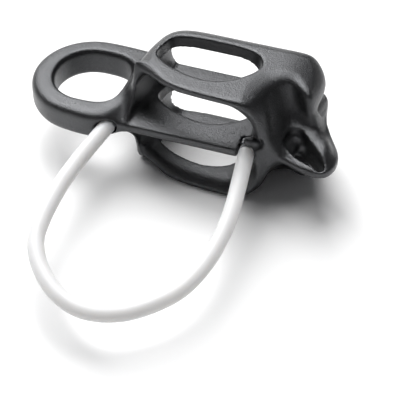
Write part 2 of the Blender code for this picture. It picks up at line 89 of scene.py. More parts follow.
class Num:
    """A shader value whose operators add Math nodes."""

    def __init__(self, tree: bpy.types.NodeTree, socket: bpy.types.NodeSocket) -> None:
        """Wrap a socket.

        Args:
            tree: the node tree that the socket belongs to.
            socket: an output with one number.
        """
        self.tree = tree
        self.socket = socket

    def _maths(self, operation: str, first: "Num | float", second: "Num | float") -> "Num":
        """Add one Math node.

        Args:
            operation: the node's operation.
            first: its first value.
            second: its second value.

        Returns:
            The node's result.
        """
        node = self.tree.nodes.new("ShaderNodeMath")
        node.operation = operation
        for place, value in zip(node.inputs, (first, second)):
            if isinstance(value, Num):
                self.tree.links.new(value.socket, place)
            else:
                place.default_value = value
        return Num(self.tree, node.outputs[0])

    def __add__(self, other: "Num | float") -> "Num":
        """Sum."""
        return self._maths("ADD", self, other)

    __radd__ = __add__

    def __mul__(self, other: "Num | float") -> "Num":
        """Product."""
        return self._maths("MULTIPLY", self, other)

    __rmul__ = __mul__

    def __sub__(self, other: "Num | float") -> "Num":
        """Difference."""
        return self._maths("SUBTRACT", self, other)

    def __rsub__(self, other: "Num | float") -> "Num":
        """Difference with a plain number first."""
        return self._maths("SUBTRACT", other, self)

    def clamped(self) -> "Num":
        """Keep the value between 0 and 1."""
        return self._maths("MINIMUM", self._maths("MAXIMUM", self, 0.0), 1.0)

    def above(self, start: float, gain: float) -> "Num":
        """How far the value lies above a start, times a gain, from 0 to 1."""
        return ((self - start) * gain).clamped()

    def swing(self, amount: float) -> "Num":
        """A pattern's swing about its middle, which is 0.5, times an amount."""
        return (self - 0.5) * amount


class Shading:
    """One material's node tree."""

    noise_roughness: ClassVar[float] = 0.6

    def __init__(self, name: str) -> None:
        """Start an empty node material.

        Args:
            name: the material's name.
        """
        self.material = bpy.data.materials.new(name)
        self.material.use_nodes = True
        self.tree = self.material.node_tree
        self.tree.nodes.clear()

    def add(self, kind: str, settings: dict[str, object] | None = None,
            **values: object) -> bpy.types.Node:
        """Add one node.

        Args:
            kind: the node's type without its ShaderNode prefix.
            settings: properties that are set first.
            values: a value or a link for each named input; spaces are written as underscores.

        Returns:
            The node.
        """
        node = self.tree.nodes.new(f"ShaderNode{kind}")
        for key, value in (settings or {}).items():
            setattr(node, key, value)
        for key, value in values.items():
            name = key.replace("_", " ")
            place = next(s for s in node.inputs if s.name == name and s.enabled)
            if isinstance(value, Num):
                self.tree.links.new(value.socket, place)
            elif isinstance(value, bpy.types.NodeSocket):
                self.tree.links.new(value, place)
            else:
                place.default_value = value
        return node

    def number(self, node: bpy.types.Node, output: int | str = 0) -> Num:
        """Wrap one output of a node for maths."""
        return Num(self.tree, node.outputs[output])

    def coordinates(self) -> bpy.types.NodeSocket:
        """The object's own coordinates, in metres."""
        return self.add("TexCoord").outputs["Object"]

    def noise(self, where: bpy.types.NodeSocket, per_metre: float, detail: float) -> Num:
        """A noise pattern.

        Args:
            where: the coordinates.
            per_metre: its scale.
            detail: its detail.

        Returns:
            The pattern's value, about 0.3 to 0.7.
        """
        return self.number(self.add("TexNoise", Vector=where, Scale=per_metre, Detail=detail,
                                    Roughness=self.noise_roughness))

    def blend(self, share: Num, first: Colour, second: Colour) -> bpy.types.NodeSocket:
        """Mix two colours.

        Args:
            share: how much of the second one there is.
            first: the first colour.
            second: the second colour.

        Returns:
            The mixed colour.
        """
        node = self.add("Mix", {"data_type": "RGBA"}, Factor=share,
                        A=(*first, 1.0), B=(*second, 1.0))
        return node.outputs["Result"]

    def bump(self, pattern: Num, height: float, strength: float = 1.0) -> bpy.types.NodeSocket:
        """Turn a pattern into a normal.

        Args:
            pattern: the pattern, from 0 to 1.
            height: how high 1 stands, in metres.
            strength: the share of it that shows.

        Returns:
            The normal.
        """
        node = self.add("Bump", Height=pattern, Distance=height, Strength=strength)
        return node.outputs["Normal"]

    def end(self, surface: bpy.types.NodeSocket) -> bpy.types.Material:
        """Link the surface to the output and hand over the material."""
        self.add("OutputMaterial", Surface=surface)
        return self.material


@dataclass(frozen=True)
class AnodisedFinish:
    """Charcoal anodising over a blasted forging, rubbed paler on its edges and in specks."""

    name: str = "charcoal_anodised"
    dye: Colour = (0.073, 0.0742, 0.0772)
    worn: Colour = (0.2, 0.202, 0.207)
    metallic: float = 0.9
    roughness: float = 0.31
    roughness_by_cloud: float = 0.16
    roughness_by_grain: float = 0.1
    grain_per_metre: float = 3400.0
    fine_per_metre: float = 7820.0
    cloud_per_metre: float = 90.0
    grain_height: float = 0.0001
    fine_share: float = 0.5
    edge_from: float = 0.52
    edge_gain: float = 9.0
    edge_wear: float = 0.1
    edge_wear_by_cloud: float = 0.3
    speck_from: float = 0.56
    speck_gain: float = 6.0
    speck_wear: float = 0.3

    def material(self) -> bpy.types.Material:
        """Build the finish.

        Returns:
            The material.
        """
        made = Shading(self.name)
        where = made.coordinates()
        grain = made.noise(where, self.grain_per_metre, detail=1.0)
        fine = made.noise(where, self.fine_per_metre, detail=0.0)
        cloud = made.noise(where, self.cloud_per_metre, detail=3.0)
        sharp = made.number(made.add("NewGeometry"), "Pointiness")
        edge = sharp.above(self.edge_from, self.edge_gain)
        speck = fine.above(self.speck_from, self.speck_gain)
        wear = (edge * (self.edge_wear + cloud * self.edge_wear_by_cloud)
                + speck * self.speck_wear).clamped()
        roughness = (self.roughness + cloud.swing(self.roughness_by_cloud)
                     + grain.swing(self.roughness_by_grain))
        shader = made.add("BsdfPrincipled", Base_Color=made.blend(wear, self.dye, self.worn),
                          Metallic=self.metallic, Roughness=roughness,
                          Normal=made.bump(grain + fine * self.fine_share, self.grain_height))
        return made.end(shader.outputs[0])


@dataclass(frozen=True)
class CoverFinish:
    """White satin plastic cover of the keeper wire, which lets some light through."""

    name: str = "white_cable_cover"
    fresh: Colour = (0.7, 0.702, 0.706)
    handled: Colour = (0.66, 0.656, 0.65)
    roughness: float = 0.36
    roughness_by_skin: float = 0.18
    specular: float = 0.25
    cloud_per_metre: float = 60.0
    skin_per_metre: float = 900.0
    skin_height: float = 0.00004
    skin_strength: float = 0.25
    handled_from: float = 0.5
    handled_gain: float = 2.4
    handled_share: float = 0.5
    scatter: float = 1.0
    scatter_depth: float = 0.006
    scatter_colour: Colour = (1.0, 0.95, 0.9)

    def material(self) -> bpy.types.Material:
        """Build the finish.

        Returns:
            The material.
        """
        made = Shading(self.name)
        where = made.coordinates()
        cloud = made.noise(where, self.cloud_per_metre, detail=4.0)
        skin = made.noise(where, self.skin_per_metre, detail=2.0)
        rubbed = cloud.above(self.handled_from, self.handled_gain) * self.handled_share
        colour = made.blend(rubbed, self.fresh, self.handled)
        shader = made.add("BsdfPrincipled", Base_Color=colour, Specular_IOR_Level=self.specular,
                          Roughness=self.roughness + skin.swing(self.roughness_by_skin),
                          Normal=made.bump(skin, self.skin_height, self.skin_strength),
                          Subsurface_Weight=self.scatter, Subsurface_Scale=self.scatter_depth,
                          Subsurface_Radius=self.scatter_colour)
        return made.end(shader.outputs[0])


@dataclass(frozen=True)
class SteelFinish:
    """Swaged steel ends of the wire, drawn and slightly dull."""

    name: str = "swaged_steel"
    bright: Colour = (0.55, 0.56, 0.58)
    dull: Colour = (0.3, 0.3, 0.31)
    metallic: float = 1.0
    roughness: float = 0.3
    roughness_by_drawing: float = 0.2
    drawn_per_metre: float = 1400.0
    drawn_height: float = 0.00003
    drawn_strength: float = 0.4
    dull_from: float = 0.45
    dull_gain: float = 3.0

    def material(self) -> bpy.types.Material:
        """Build the finish.

        Returns:
            The material.
        """
        made = Shading(self.name)
        drawn = made.noise(made.coordinates(), self.drawn_per_metre, detail=3.0)
        colour = made.blend(drawn.above(self.dull_from, self.dull_gain), self.bright, self.dull)
        shader = made.add("BsdfPrincipled", Base_Color=colour, Metallic=self.metallic,
                          Roughness=self.roughness + drawn * self.roughness_by_drawing,
                          Normal=made.bump(drawn, self.drawn_height, self.drawn_strength))
        return made.end(shader.outputs[0])


@dataclass(frozen=True)
class TableFinish:
    """The pale floor: grey to the lamp's bounced light, white to the camera and to reflections."""

    name: str = "pale_floor"
    shade: float = 0.8
    seen: float = 1.0

    def material(self) -> bpy.types.Material:
        """Build the finish.

        Returns:
            The material.
        """
        made = Shading(self.name)
        ray = made.add("LightPath")
        seen = (made.number(ray, "Is Camera Ray") + made.number(ray, "Is Glossy Ray")
                + made.number(ray, "Is Transmission Ray")).clamped()
        colour = made.blend(seen, (self.shade,) * 3, (self.seen,) * 3)
        return made.end(made.add("BsdfDiffuse", Color=colour).outputs[0])


def spline(points: list[Vector], steps: int, closed: bool) -> list[Vector]:
    """Run a smooth curve through points.

    Args:
        points: the points, as vectors of one size.
        steps: how many steps lie between two of them.
        closed: whether the last point goes on to the first.

    Returns:
        The curve's points.
    """
    count = len(points)
    if closed:
        knots = [points[-1], *points, points[0], points[1]]
    else:
        knots = [points[0] * 2 - points[1], *points, points[-1] * 2 - points[-2]]
    made = []
    for a, b, c, d in zip(knots, knots[1:], knots[2:], knots[3:]):
        for step in range(steps):
            t = step / steps
            made.append(0.5 * (2 * b + (c - a) * t + (2 * a - 5 * b + 4 * c - d) * t ** 2
                               + (3 * b - a - 3 * c + d) * t ** 3))
    if closed:
        return made[: count * steps]
    return [*made, points[-1].copy()]


def grown(outline: list[Vector], amount: float) -> list[Vector]:
    """Move a closed flat outline outwards.

    Args:
        outline: its points in the plane.
        amount: how far it moves.

    Returns:
        The moved points.
    """
    count = len(outline)
    area = sum(a.x * b.y - b.x * a.y for a, b in zip([outline[-1], *outline], outline))
    side = math.copysign(1.0, area)
    made = []
    for i in range(count):
        along = (outline[(i + 1) % count] - outline[i - 1]).normalized()
        made.append(outline[i] + side * amount * Vector((along.y, -along.x)))
    return made


def loft(sections: list[list[Point3]]) -> bmesh.types.BMesh:
    """Join equal rings of points into one closed tube.

    Args:
        sections: the rings, in order.

    Returns:
        The tube.
    """
    made = bmesh.new()
    rings = [[made.verts.new(point) for point in section] for section in sections]
    count = len(rings[0])
    for lower, upper in zip(rings, rings[1:]):
        for i in range(count):
            j = (i + 1) % count
            made.faces.new((lower[i], lower[j], upper[j], upper[i]))
    made.faces.new(rings[0][::-1])
    made.faces.new(rings[-1])
    return made


def mesh_piece(name: str, shape: bmesh.types.BMesh) -> bpy.types.Object:
    """Turn a shape in the model's millimetres into an object in metres in the row frame.

    Args:
        name: the object's name.
        shape: its mesh, which is used up.

    Returns:
        The object.
    """
    bmesh.ops.translate(shape, vec=PLACE, verts=shape.verts)
    bmesh.ops.scale(shape, vec=(MM, MM, MM), verts=shape.verts)
    bmesh.ops.recalc_face_normals(shape, faces=shape.faces)
    mesh = bpy.data.meshes.new(name)
    shape.to_mesh(mesh)
    shape.free()
    made = bpy.data.objects.new(name, mesh)
    bpy.context.collection.objects.link(made)
    return made


def applied(piece: bpy.types.Object) -> None:
    """Bake a piece's modifiers into its mesh."""
    graph = bpy.context.evaluated_depsgraph_get()
    mesh = bpy.data.meshes.new_from_object(piece.evaluated_get(graph))
    piece.modifiers.clear()
    old, piece.data = piece.data, mesh
    bpy.data.meshes.remove(old)


class Rounding(Enum):
    """Crown roundings: width in plan, and drop below the flat face."""

    CRISP = (0.9, 0.45)
    CORNER = (1.4, 1.0)
    COLUMN = (4.4, 2.0)
    RIDGE = (5.4, 2.6)
    SADDLE = (3.6, 1.8)
    LOBE_RIDGE = (1.8, 1.6)
    LOBE_TIP = (2.2, 2.0)
    LEFT_CORNER = (1.6, 3.0)
    LEFT_EDGE = (2.4, 2.0)
    SOFT = (4.0, 3.2)
    LOBE = (3.2, 1.8)


class Wall(Enum):
    """Wall shapes: (share of the way from foot to crown, height) pairs."""

    PLAIN = ((0.0, 1.3), (0.3, 4.0), (0.6, 7.5), (0.88, 12.0))
    BULGED = ((0.0, 2.5), (0.03, 5.0), (0.15, 8.5), (0.55, 12.4))
    KEEL = ((0.0, 2.5), (0.1, 5.0), (0.35, 8.0), (0.8, 12.0))
    WAIST = ((0.0, 2.3), (0.55, 4.6), (0.9, 7.5), (1.0, 11.5))
    HOLLOW = ((0.0, 1.3), (0.36, 4.0), (0.7, 7.5), (0.95, 12.0))


class Rim(Enum):
    """A flange's outer edge: (distance in from the foot, share of the edge height) rows."""

    RING = ((0.0, 0.3), (0.0, 0.5), (0.3, 0.72), (1.3, 0.9), (3.4, 1.0))
    NOSE = ((0.0, 0.3), (0.05, 0.6), (0.5, 0.8), (1.2, 0.95), (2.4, 1.08))
    TIP = ((0.0, 0.3), (0.05, 0.62), (1.0, 0.95), (2.8, 1.75), (4.6, 2.55))


class Fillet(Enum):
    """Fillets between a flange and the wall on it.

    Each holds the flange's rim, then its three points' distances from the crown in plan, and then
    the least share of the way from foot to crown at which each of them stands.
    """

    RING = (Rim.RING, (5.0, 1.5, 0.3), (0.5, 0.75, 0.9))
    NOSE = (Rim.NOSE, (6.5, 3.2, 1.2), (0.5, 0.75, 0.9))
    TIP = (Rim.TIP, (6.4, 3.1, 1.1), (0.5, 0.75, 0.9))
    VALLEY = (Rim.NOSE, (8.6, 5.2, 2.3), (0.5, 0.75, 0.9))
    COLUMN = (Rim.NOSE, (8.6, 7.2, 4.2), (0.32, 0.56, 0.86))


@dataclass(frozen=True)
class Station:
    """One upright slice of the forging's outside.

    In plan its foot is on the parting plane and its crown is where the wall meets the flat face.
    Edge is the height of its outer edge, and root that of the flange where the fillet starts. The
    rim limit is the share of the way from foot to crown that a flange's rim keeps within.
    """

    foot: Point2
    crown: Point2
    edge: float
    root: float
    wall: Wall | Fillet
    rounding: Rounding
    edge_shares: ClassVar[tuple[float, ...]] = (0.3, 0.55, 0.8, 1.0)
    rim_limit: ClassVar[float] = 0.32
    fillet_rise: ClassVar[float] = 2.6
    fillet_top: ClassVar[float] = 11.0
    crown_share: ClassVar[float] = 0.3
    flat_step: ClassVar[float] = 0.3

    def rows(self, inward: Vector, half: float) -> list[Point3]:
        """Points from the parting plane up to the flat outer face.

        Args:
            inward: the direction in plan from the crown into the plate.
            half: the body's half-height.

        Returns:
            The points.
        """
        foot, crown = Vector(self.foot), Vector(self.crown)
        way = crown - foot
        if isinstance(self.wall, Wall):
            rows = [(foot, share * self.edge) for share in self.edge_shares]
            rows += [(foot + way * share, height) for share, height in self.wall.value]
        else:
            rim, distances, least = self.wall.value
            heights = (self.root, self.root + self.fillet_rise, self.fillet_top)
            rows = [(foot + way * min(away / way.length, self.rim_limit), share * self.edge)
                    for away, share in rim.value]
            rows += [(foot + way * max(1 - away / way.length, share), height)
                     for away, share, height in zip(distances, least, heights)]
        width, drop = self.rounding.value
        share = self.crown_share
        rows += [(crown, half - drop), (crown + inward * share * width, half - share * drop),
                 (crown + inward * width, half), (crown + inward * (width + self.flat_step), half)]
        return [(point.x, point.y, height) for point, height in rows]


@dataclass
class Forging:
    """The forging's outside: a skirt of stations round the outline, closed by two flat faces."""

    half: float = 16.4
    far_y: float = 29.4
    front_y: float = 1.7
    plate_edge: float = 1.0
    far_edge: float = 3.0
    nose_half: float = 3.7
    nose_arm_half: float = 1.1
    ring_half: float = 4.2
    ring_centre: Point2 = (-14.5, 14.6)
    ring_radius: float = 15.7
    ring_arc: Point2 = (97.0, 253.0)
    ring_stations: int = 12
    ring_crown: Point2 = (0.9, 18.4)
    ring_crown_run: Point2 = (-1.0, -7.4)
    smoothing: int = 3
    droop_from: float = 36.0
    droop_cuts: int = 14
    droop_rate: float = 0.05
    droop_floor: float = 6.0
    droop_top: float = 13.0
    mouth_height: float = 15.0
    mouth_power: float = 1.5

    def near(self) -> list[Station]:
        """Stations along the front face, from the left corner to the column."""
        crisp, column = Rounding.CRISP, Rounding.COLUMN
        plain, bulged = Wall.PLAIN, Wall.BULGED
        slices = (
            ((0.4, 1.7), (0.9, 8.8), Wall.HOLLOW, Rounding.LEFT_CORNER),
            ((4.6, 1.7), (4.8, 7.2), plain, Rounding.LEFT_EDGE),
            ((9.0, 1.7), (9.2, 4.6), plain, crisp),
            ((14.0, 1.7), (14.0, 3.1), plain, crisp),
            ((20.0, 1.7), (20.0, 2.6), plain, crisp),
            ((26.0, 1.7), (26.0, 2.3), plain, crisp),
            ((32.0, 1.7), (31.3, 2.1), bulged, Rounding.CORNER),
            ((36.2, 1.9), (33.6, 3.0), bulged, column),
            ((38.4, 3.0), (34.7, 5.9), bulged, column),
        )
        return [Station(foot, crown, self.plate_edge, 0.0, wall, rounding)
                for foot, crown, wall, rounding in slices]

    def nose(self) -> list[Station]:
        """Stations round the nose and the lobes above and below it."""
        arm, nose = self.nose_arm_half, self.nose_half
        ridge, saddle = Rounding.RIDGE, Rounding.SADDLE
        tip, lobe = Rounding.LOBE_TIP, Rounding.LOBE
        keel, waist, point = Wall.KEEL, Wall.WAIST, Fillet.TIP
        return [
            Station((41.0, 3.2), (35.3, 8.8), self.plate_edge, 0.0, Wall.PLAIN, ridge),
            Station((43.9, 2.1), (36.1, 11.4), arm, 3.4, Fillet.COLUMN, ridge),
            Station((47.4, 0.9), (37.0, 13.8), arm + 0.2, nose, Fillet.VALLEY, ridge),
            Station((51.4, 0.0), (38.3, 15.3), arm + 0.2, nose + 0.3, Fillet.NOSE, saddle),
            Station((54.6, 1.2), (40.3, 15.9), nose - 2.1, nose + 0.4, point, saddle),
            Station((56.0, 6.4), (43.0, 14.1), nose - 1.8, nose + 0.6, point, Rounding.LOBE_RIDGE),
            Station((54.4, 11.0), (45.6, 12.4), nose - 2.5, nose - 0.4, point, tip),
            Station((50.6, 15.2), (47.0, 14.2), nose, 0.0, waist, tip),
            Station((48.8, 19.0), (47.6, 18.0), nose, 0.0, waist, tip),
            Station((48.2, 22.6), (47.6, 21.7), nose, 0.0, keel, lobe),
            Station((47.7, 26.0), (46.7, 24.8), nose, 0.0, keel, lobe),
            Station((45.6, 28.3), (44.9, 27.3), nose, 0.0, keel, lobe),
        ]

    def far(self) -> list[Station]:
        """Stations along the far side, down into the ring."""
        soft, plain, ring = Rounding.SOFT, Wall.PLAIN, self.ring_half
        y, edge = self.far_y, self.far_edge
        return [
            Station((42.0, y + 0.3), (42.2, y), edge, 0.0, plain, Rounding.LOBE),
            Station((38.0, y + 0.3), (38.4, y), edge, 0.0, plain, soft),
            Station((32.0, y + 0.3), (32.0, y), edge, 0.0, plain, soft),
            Station((25.5, y + 0.2), (25.5, y - 0.1), edge, 0.0, plain, soft),
            Station((19.0, y + 0.2), (19.0, y - 0.1), edge, 0.0, plain, soft),
            Station((13.0, y + 0.2), (13.0, y - 0.1), edge, 0.0, plain, soft),
            Station((7.5, y + 0.2), (8.0, y - 0.5), edge + 0.2, 0.0, plain, soft),
            Station((2.5, y + 0.3), (4.4, y - 2.4), ring, ring, Fillet.RING, soft),
            Station((-2.5, y + 0.5), (2.4, y - 5.4), ring, ring, Fillet.RING, soft),
            Station((-8.5, y + 0.9), (1.5, y - 8.6), ring, ring, Fillet.RING, soft),
        ]

    def ring(self) -> list[Station]:
        """Stations round the anchor ring, and along its web back to the front face."""
        ring = self.ring_half
        made = []
        for i in range(self.ring_stations):
            share = i / (self.ring_stations - 1)
            angle = math.radians(self.ring_arc[0] + (self.ring_arc[1] - self.ring_arc[0]) * share)
            foot = (self.ring_centre[0] + self.ring_radius * math.cos(angle),
                    self.ring_centre[1] + self.ring_radius * math.sin(angle))
            crown = (self.ring_crown[0] + self.ring_crown_run[0] * share,
                     self.ring_crown[1] + self.ring_crown_run[1] * share)
            made.append(Station(foot, crown, ring, ring, Fillet.RING, Rounding.SOFT))
        return [
            *made,
            Station((-10.5, -1.4), (-0.1, 10.5), ring, ring, Fillet.RING, Rounding.SOFT),
            Station((-6.0, -0.6), (-0.1, 10.0), ring, ring, Fillet.RING, Rounding.LEFT_CORNER),
            Station((-2.4, 1.0), (0.1, 9.4), 2.4, 3.4, Fillet.RING, Rounding.CRISP),
        ]

    def blank(self) -> bpy.types.Object:
        """Make the forging before any hole is cut.

        Returns:
            The blank.
        """
        around = [*self.near(), *self.nose(), *self.far(), *self.ring()]
        count = len(around)
        skirt = bmesh.new()
        columns = []
        for i, station in enumerate(around):
            after, before = around[(i + 1) % count], around[i - 1]
            along = (Vector(after.crown) - Vector(before.crown)).normalized()
            upper = station.rows(Vector((-along.y, along.x)), self.half)
            points = [(x, y, -z) for x, y, z in upper[::-1]] + upper
            columns.append([skirt.verts.new(point) for point in points])
        for i in range(count):
            left, right = columns[i], columns[(i + 1) % count]
            for low in range(len(left) - 1):
                skirt.faces.new((left[low], right[low], right[low + 1], left[low + 1]))
        made = mesh_piece("forging_blank", skirt)
        made.modifiers.new("smooth", "SUBSURF").levels = self.smoothing
        applied(made)
        shape = bmesh.new()
        shape.from_mesh(made.data)
        rims = [edge for edge in shape.edges if edge.is_boundary]
        for edge in rims:  # each rim is set quite flat before its face is filled
            for vert in edge.verts:
                vert.co.z = 2 * self.half * MM if vert.co.z > self.half * MM else 0.0
        bmesh.ops.holes_fill(shape, edges=rims, sides=0)
        self.droop(shape)
        bmesh.ops.recalc_face_normals(shape, faces=shape.faces)
        shape.to_mesh(made.data)
        shape.free()
        return made

    def droop(self, shape: bmesh.types.BMesh) -> None:
        """Bend the lobes' outer faces gently towards the parting plane.

        Args:
            shape: the blank, in metres in the row frame.
        """
        start = (self.droop_from + PLACE.x) * MM
        for k in range(self.droop_cuts):  # the flat faces need edges across them to bend at
            whole = [*shape.verts, *shape.edges, *shape.faces]
            bmesh.ops.bisect_plane(shape, geom=whole, plane_co=(start + k * MM, 0.0, 0.0),
                                   plane_no=(1.0, 0.0, 0.0), dist=1e-7)
        for vert in shape.verts:
            past = max(vert.co.x - start, 0.0) / MM
            height = vert.co.z / MM - self.half
            share = (abs(height) - self.droop_floor) / (self.droop_top - self.droop_floor)
            share = min(max(share, 0.0), 1.0)
            share *= share * (3 - 2 * share)  # a smooth step from the floor to the top
            drop = 0.5 * self.droop_rate * past ** 2 * share
            vert.co.z -= math.copysign(drop * MM, height)

    def mouth(self, x: float, z: float) -> float:
        """How far the plates' near edge lies behind the front face.

        Args:
            x: a point of the mouth.
            z: its height from the parting plane.

        Returns:
            The distance in millimetres.
        """
        edge = [station.crown for station in self.near()[:-1]]
        spans = list(zip(edge, edge[1:]))
        (xa, ya), (xb, yb) = next((span for span in spans if x <= span[1][0]), spans[-1])
        share = min(max((x - xa) / (xb - xa), 0.0), 1.0)
        height = min(abs(z) / self.mouth_height, 1.0)
        return (ya + (yb - ya) * share - self.front_y) * height ** self.mouth_power


@dataclass
class RopeSlots:
    """The two rope slots, which run from the front face to the far side.

    Both pairs of left corner radii are the upper one's and then the lower one's.
    """

    left_x: float = 0.6
    left_flare: float = 0.8
    left_taper: float = 3.6
    left_corners: Point2 = (4.4, 1.3)
    left_mouth_corners: Point2 = (2.4, 1.2)
    right_x: float = 33.6
    right_flare: float = 2.4
    right_taper: float = 0.8
    corner: float = 8.4
    column_corner: float = 2.3
    mid_half: float = 1.9
    mid_edge_half: float = 1.1
    plate_wall: float = 3.6
    flare: float = 2.3
    flare_power: float = 2.6
    depths: tuple[float, ...] = (0.0, 0.35, 0.7, 1.1, 1.6, 2.2, 2.9, 3.7, 5.0)
    entry_opened: float = 1.3
    entry_depth: float = -6.0
    exit_opened: float = 0.6
    exit_power: float = 1.6
    exit_from: float = 3.1
    exit_run: float = 4.9
    exit_steps: int = 8
    arc_steps: int = 16
    side_steps: int = 20

    def section(self, forging: Forging, opened: float, depth: float,
                follows: bool = False) -> list[Point3]:
        """One rounded rectangle of the upper slot.

        Args:
            forging: the body it is cut in.
            opened: how far its flare is open, 1 at the mouth.
            depth: how far it lies behind the front face.
            follows: whether it follows the curved mouth.

        Returns:
            Its points.
        """
        inside = min(max(depth / (forging.far_y - forging.front_y), 0.0), 1.0)
        left = self.left_x - self.left_flare * opened + self.left_taper * inside
        right = self.right_x + self.right_flare * opened - self.right_taper * inside
        low = self.mid_half + (self.mid_edge_half - self.mid_half) * opened
        high = forging.half - self.plate_wall + self.flare * opened
        upper, lower = (deep + (mouth - deep) * min(opened, 1.0)
                        for deep, mouth in zip(self.left_corners, self.left_mouth_corners))
        centres = ((right, low, -90, self.column_corner), (right, high, 0, self.corner),
                   (left, high, 90, upper), (left, low, 180, lower))
        made = []
        for cx, cz, start, radius in centres:
            x = cx + math.copysign(radius, left + right - 2 * cx)
            z = cz + math.copysign(radius, low + high - 2 * cz)
            for step in range(self.arc_steps + 1):
                angle = math.radians(start + 90 * step / self.arc_steps)
                made.append((x + radius * math.cos(angle), z + radius * math.sin(angle)))
            side = {0: left - x + upper, 180: right - x - self.column_corner}.get(start, 0.0)
            if side:  # the long sides have points of their own, to follow the curved mouth
                made += [(x + side * k / self.side_steps, made[-1][1])
                         for k in range(1, self.side_steps)]
        front = forging.front_y + depth
        return [(x, front + (forging.mouth(x, z) if follows else 0.0), z) for x, z in made]

    def cutter(self, forging: Forging, side: int) -> bpy.types.Object:
        """Cutter of one slot.

        Args:
            forging: the body it is cut in.
            side: 1 for the upper slot, -1 for the lower one.

        Returns:
            The cutter.
        """
        sections = [self.section(forging, self.entry_opened, self.entry_depth)]
        for depth in self.depths:
            opened = (1 - depth / self.depths[-1]) ** self.flare_power
            sections.append(self.section(forging, opened, depth, follows=True))
        end = forging.far_y - forging.front_y
        for k in range(self.exit_steps + 1):
            share = k / self.exit_steps
            sections.append(self.section(forging, self.exit_opened * share ** self.exit_power,
                                         end - self.exit_from + self.exit_run * share))
        flipped = [[(x, y, side * z) for x, y, z in section] for section in sections]
        return mesh_piece(f"slot_cutter_{side + 1}", loft(flipped))


@dataclass
class BrakeGrooves:
    """The two toothed V grooves through the end wall.

    The rib steps are (share of the pitch, share of the rib's height) pairs.
    """

    start_x: float = 31.0
    ribs_x: float = 34.8
    rib_pitch: float = 3.3
    rib_height: float = 0.7
    rib_count: int = 4
    rib_steps: tuple[Point2, ...] = (
        (0.0, 0.0), (0.12, 0.1), (0.3, 0.85), (0.42, 1.0), (0.54, 1.0), (0.66, 0.85), (0.86, 0.1),
    )
    bottom_y: float = 15.4
    bottom_half: float = 1.9
    bottom_corner: Point2 = (0.4, 0.9)
    bottom_share: float = 0.6
    base_rise: float = 1.5
    mid_z: float = 7.6
    crest_half: float = 2.9
    crest_drop: float = 1.4
    lobe_z: float = 11.0
    rim: float = 1.2
    rim_share: float = 0.3
    rim_lead: float = 0.4
    rim_run: float = 1.4
    overshoot: float = 6.0

    def profile(self, far_y: float, rib: float, rim: float) -> list[Point2]:
        """The V in Y and Z.

        Args:
            far_y: the body's far side.
            rib: how far a rib stands in.
            rim: how far the end opens.

        Returns:
            Its points.
        """
        crest, base = far_y - self.crest_drop, self.bottom_y + self.base_rise
        top = crest + self.overshoot
        shift = rib - rim

        def wall(start: float, end: float, y: float) -> float:
            """Height of a straight wall at y."""
            return start + (end - start) * (y - base) / (crest - base)

        low, high = self.mid_z - self.bottom_half, self.mid_z + self.bottom_half
        bottom = self.bottom_y + self.bottom_share * shift
        rise, half = self.bottom_corner
        return [*((y, wall(low, self.crest_half, y) + shift) for y in (top, crest, base)),
                (bottom + rise, self.mid_z - half), (bottom, self.mid_z),
                (bottom + rise, self.mid_z + half),
                *((y, wall(high, self.lobe_z, y) - shift) for y in (base, crest, top))]

    def cutter(self, forging: Forging, side: int) -> bpy.types.Object:
        """Cutter of one groove.

        Args:
            forging: the body it is cut in.
            side: 1 for the upper groove, -1 for the lower one.

        Returns:
            The cutter.
        """
        places = [(self.start_x, 0.0, 0.0)]
        for i in range(self.rib_count):
            x = self.ribs_x + i * self.rib_pitch
            places += [(x + share * self.rib_pitch, height * self.rib_height, 0.0)
                       for share, height in self.rib_steps]
        end = self.ribs_x + self.rib_count * self.rib_pitch - self.rim_lead
        places += [(end, 0.0, self.rim_share * self.rim), (end + self.rim_run, 0.0, self.rim),
                   (end + self.overshoot, 0.0, self.rim)]
        sections = [[(x, y, side * z) for y, z in self.profile(forging.far_y, rib, rim)]
                    for x, rib, rim in places]
        return mesh_piece(f"groove_cutter_{side + 1}", loft(sections))


